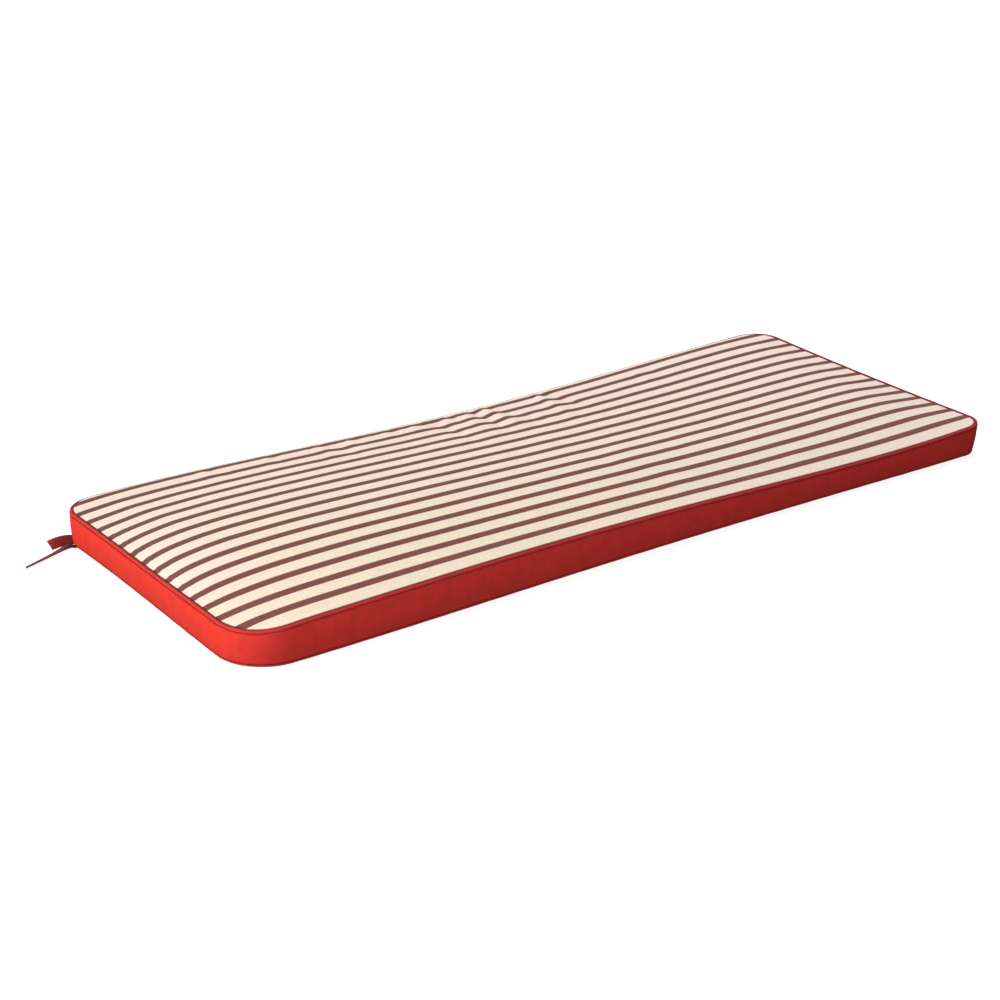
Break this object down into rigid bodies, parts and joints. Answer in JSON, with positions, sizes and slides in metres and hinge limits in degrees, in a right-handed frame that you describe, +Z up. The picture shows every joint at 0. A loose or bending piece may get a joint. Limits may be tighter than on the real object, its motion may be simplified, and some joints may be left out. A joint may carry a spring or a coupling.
{
  "type": "sun lounger cushion",
  "caption": "Long box-edge outdoor seat cushion with a crowned striped top, a drawn-in red boxing band, piped seams and a ribbon tie at one corner.",
  "frame": {"origin": "on the floor under the middle of the cushion, on the flat underside", "axes": "+X along the cushion's length, with the tie at the -X end, +Z up out of the striped face, and the front long side faces -Y"},
  "size_m": [1.2396, 0.4753, 0.065],
  "materials": {
    "red_cloth": "matt red woven cotton",
    "striped_cloth": "matt woven cotton, cream with lengthwise maroon stripes",
    "piping_cloth": "matt red woven cotton over a cord",
    "ribbon_cloth": "matt dark red woven tape"
  },
  "bodies": {
    "root": {"cushion_pad": "red_cloth", "top_panel": "striped_cloth", "bottom_panel": "red_cloth", "piping_top": "piping_cloth", "piping_bottom": "piping_cloth", "tie_short": "ribbon_cloth", "tie_long": "ribbon_cloth"}
  },
  "joints": []
}
